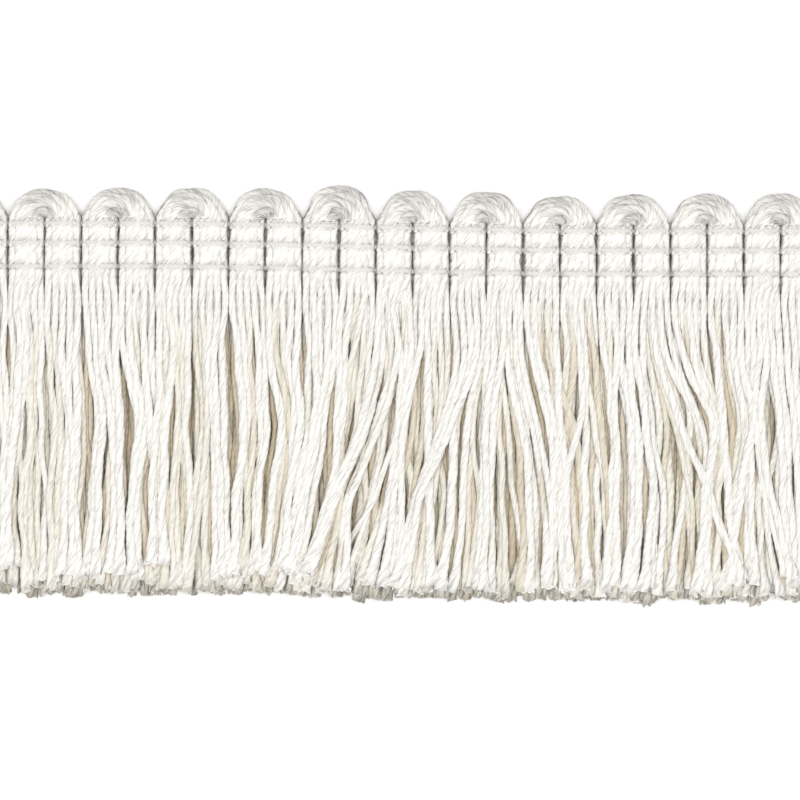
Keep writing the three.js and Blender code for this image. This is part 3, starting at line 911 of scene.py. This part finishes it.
def twistedYarn(name, look):
    material = newMaterial(name)
    yarnMap = addNode(material, "ShaderNodeUVMap", {"uv_map": "yarnMap"})
    mapParts = addNode(material, "ShaderNodeSeparateXYZ", {}, {"Vector": yarnMap.outputs["UV"]})
    turned = addNode(
        material,
        "ShaderNodeMath",
        {"operation": "MULTIPLY_ADD", 1: -look["filamentSlope"]},
        {0: mapParts.outputs["X"], 2: mapParts.outputs["Y"]},
    )
    slanted = addNode(
        material,
        "ShaderNodeCombineXYZ",
        {},
        {"X": mapParts.outputs["X"], "Y": turned.outputs["Value"]},
    )
    stretch = addNode(
        material,
        "ShaderNodeMapping",
        {"Scale": (1 / look["filamentLength"], 1 / look["filament"], 1)},
        {"Vector": slanted.outputs["Vector"]},
    )
    filaments = addNode(
        material,
        "ShaderNodeTexNoise",
        {
            "noise_dimensions": "2D",
            "Scale": 1.0,
            "Detail": fibre["noiseDetail"],
            "Roughness": fibre["noiseRoughness"],
        },
        {"Vector": stretch.outputs["Vector"]},
    )
    hatch = addNode(
        material,
        "ShaderNodeMapRange",
        {
            "From Min": fibre["noiseRange"][0],
            "From Max": fibre["noiseRange"][1],
            "To Min": 1 - look["filamentDark"],
            "To Max": 1.0,
        },
        {"Value": filaments.outputs["Fac"]},
    )
    # 0 in the middle of a ply and 0.5 where it meets the next
    plies = addNode(
        material,
        "ShaderNodeMath",
        {"operation": "MULTIPLY", 1: ply["plies"] / look["round"]},
        {0: mapParts.outputs["Y"]},
    )
    fromMiddle = addNode(
        material,
        "ShaderNodeMath",
        {"operation": "PINGPONG", 1: 0.5},
        {0: plies.outputs["Value"]},
    )
    plyEdge = addNode(
        material,
        "ShaderNodeMapRange",
        {"interpolation_type": "SMOOTHSTEP", "From Min": 0.5 - look["plyLine"], "From Max": 0.5},
        {"Value": fromMiddle.outputs["Value"]},
    )
    # painted shade in the crease where one ply meets the next
    lines = addNode(
        material,
        "ShaderNodeMath",
        {"operation": "MULTIPLY_ADD", 1: -look["plyShade"], 2: 1.0},
        {0: plyEdge.outputs["Result"]},
    )
    drawn = addNode(
        material,
        "ShaderNodeMath",
        {"operation": "MULTIPLY"},
        {0: lines.outputs["Value"], 1: hatch.outputs["Result"]},
    )
    # painted shade: bent and cut yarn, the stitch rows and the slits are painted darker, and the lines are
    # stronger there
    dark = addNode(material, "ShaderNodeAttribute", {"attribute_name": "yarnDark"})
    dimmed = addNode(
        material,
        "ShaderNodeMath",
        {"operation": "MULTIPLY_ADD", 1: -look["paintedShadeDark"], 2: 1.0},
        {0: dark.outputs["Fac"]},
    )
    streaky = addNode(
        material,
        "ShaderNodeMath",
        {"operation": "MULTIPLY_ADD", 1: look["streaks"], 2: 1.0},
        {0: dark.outputs["Fac"]},
    )
    streaks = addNode(
        material,
        "ShaderNodeMath",
        {"operation": "POWER"},
        {0: drawn.outputs["Value"], 1: streaky.outputs["Value"]},
    )
    light = addNode(
        material,
        "ShaderNodeMath",
        {"operation": "MULTIPLY"},
        {0: streaks.outputs["Value"], 1: dimmed.outputs["Value"]},
    )
    # painted shade: the tone runs from warm and dark deep in the pile to white at the face
    shade = addNode(material, "ShaderNodeAttribute", {"attribute_name": "yarnShade"})
    tone = addNode(material, "ShaderNodeValToRGB", {}, {"Fac": shade.outputs["Fac"]})
    stops = tone.color_ramp.elements
    while len(stops) < len(look["tones"]):
        stops.new(0.5)
    for stop, (position, colour) in zip(stops, look["tones"]):
        stop.position = position
        stop.color = hexColour(colour)
    colour = addNode(
        material,
        "ShaderNodeVectorMath",
        {"operation": "SCALE"},
        {0: tone.outputs["Color"], "Scale": light.outputs["Value"]},
    )
    bump = addNode(
        material,
        "ShaderNodeBump",
        {"Strength": fibre["bump"], "Distance": look["lineDepth"] * mm},
        {"Height": drawn.outputs["Value"]},
    )
    surface = addNode(
        material,
        "ShaderNodeBsdfPrincipled",
        {
            "Roughness": look["roughness"],
            "IOR": fibre["ior"],
            "Sheen Weight": look["sheen"],
            "Sheen Roughness": fibre["sheenRoughness"],
        },
        {"Base Color": colour.outputs["Vector"], "Normal": bump.outputs["Normal"]},
    )
    addNode(material, "ShaderNodeOutputMaterial", {}, {"Surface": surface.outputs["BSDF"]})
    return material


yarnFinish = twistedYarn("viscose_rayon_yarn", rayon)
threadFinish = twistedYarn("mercerised_cotton_thread", cotton)
for piece in fringe:
    piece.data.materials.append(yarnFinish)
for piece in stitches:
    piece.data.materials.append(threadFinish)
print("finishes set")


# Studio: white table, wide soft light from both sides, camera straight above

studio = {
    "frameWidth": 98.2,  # mm of the table across the picture
    "aimX": -1.55,
    "aimY": -0.55,
    "lens": 150.0,
    "sensor": 36.0,
    "farthest": 10.0,  # metres that the camera sees
    "tableSize": 3000.0,
    "tableColour": "FAFAFA",
    "tableRoughness": 0.8,
    "domeColour": "FFFFFF",
    "domeStrength": 0.72,
    "exposure": 0.0,
}
lights = [  # name, height over the table in degrees, turn, distance, size and power
    ("light_left", 79, 180, 700, (220, 400), 1.25),
    ("light_right", 79, 0, 700, (220, 400), 1.25),
]

bpy.ops.mesh.primitive_plane_add(size=studio["tableSize"] * mm)
table = bpy.context.object
table.name = "studio_table"
tableFinish = newMaterial("matt_white_laminate")
tableSurface = addNode(
    tableFinish,
    "ShaderNodeBsdfPrincipled",
    {"Base Color": hexColour(studio["tableColour"]), "Roughness": studio["tableRoughness"]},
)
addNode(tableFinish, "ShaderNodeOutputMaterial", {}, {"Surface": tableSurface.outputs["BSDF"]})
table.data.materials.append(tableFinish)

for name, lift, turn, distance, lightSize, power in lights:
    lift, turn = math.radians(lift), math.radians(turn)
    away = np.array([math.cos(lift) * math.cos(turn), math.cos(lift) * math.sin(turn), math.sin(lift)])
    facing = (0, math.pi / 2 - lift, turn)
    bpy.ops.object.light_add(type="AREA", location=away * distance * mm, rotation=facing)
    light = bpy.context.object
    light.name = name
    light.data.shape = "RECTANGLE"
    light.data.size, light.data.size_y = (length * mm for length in lightSize)
    light.data.energy = power

world = bpy.data.worlds.new("studio_dome")
bpy.context.scene.world = world
world.use_nodes = True
background = world.node_tree.nodes["Background"]
background.inputs["Color"].default_value = hexColour(studio["domeColour"])
background.inputs["Strength"].default_value = studio["domeStrength"]

bpy.context.scene.view_settings.view_transform = "Standard"
bpy.context.scene.view_settings.exposure = studio["exposure"]

cameraHeight = studio["frameWidth"] * studio["lens"] / studio["sensor"]
cameraPlace = (studio["aimX"] * mm, studio["aimY"] * mm, cameraHeight * mm)
bpy.ops.object.camera_add(location=cameraPlace, rotation=(0, 0, 0))
camera = bpy.context.object
camera.name = "camera_above"
camera.data.lens = studio["lens"]
camera.data.sensor_width = studio["sensor"]
camera.data.clip_end = studio["farthest"]
bpy.context.scene.camera = camera
print("studio set")
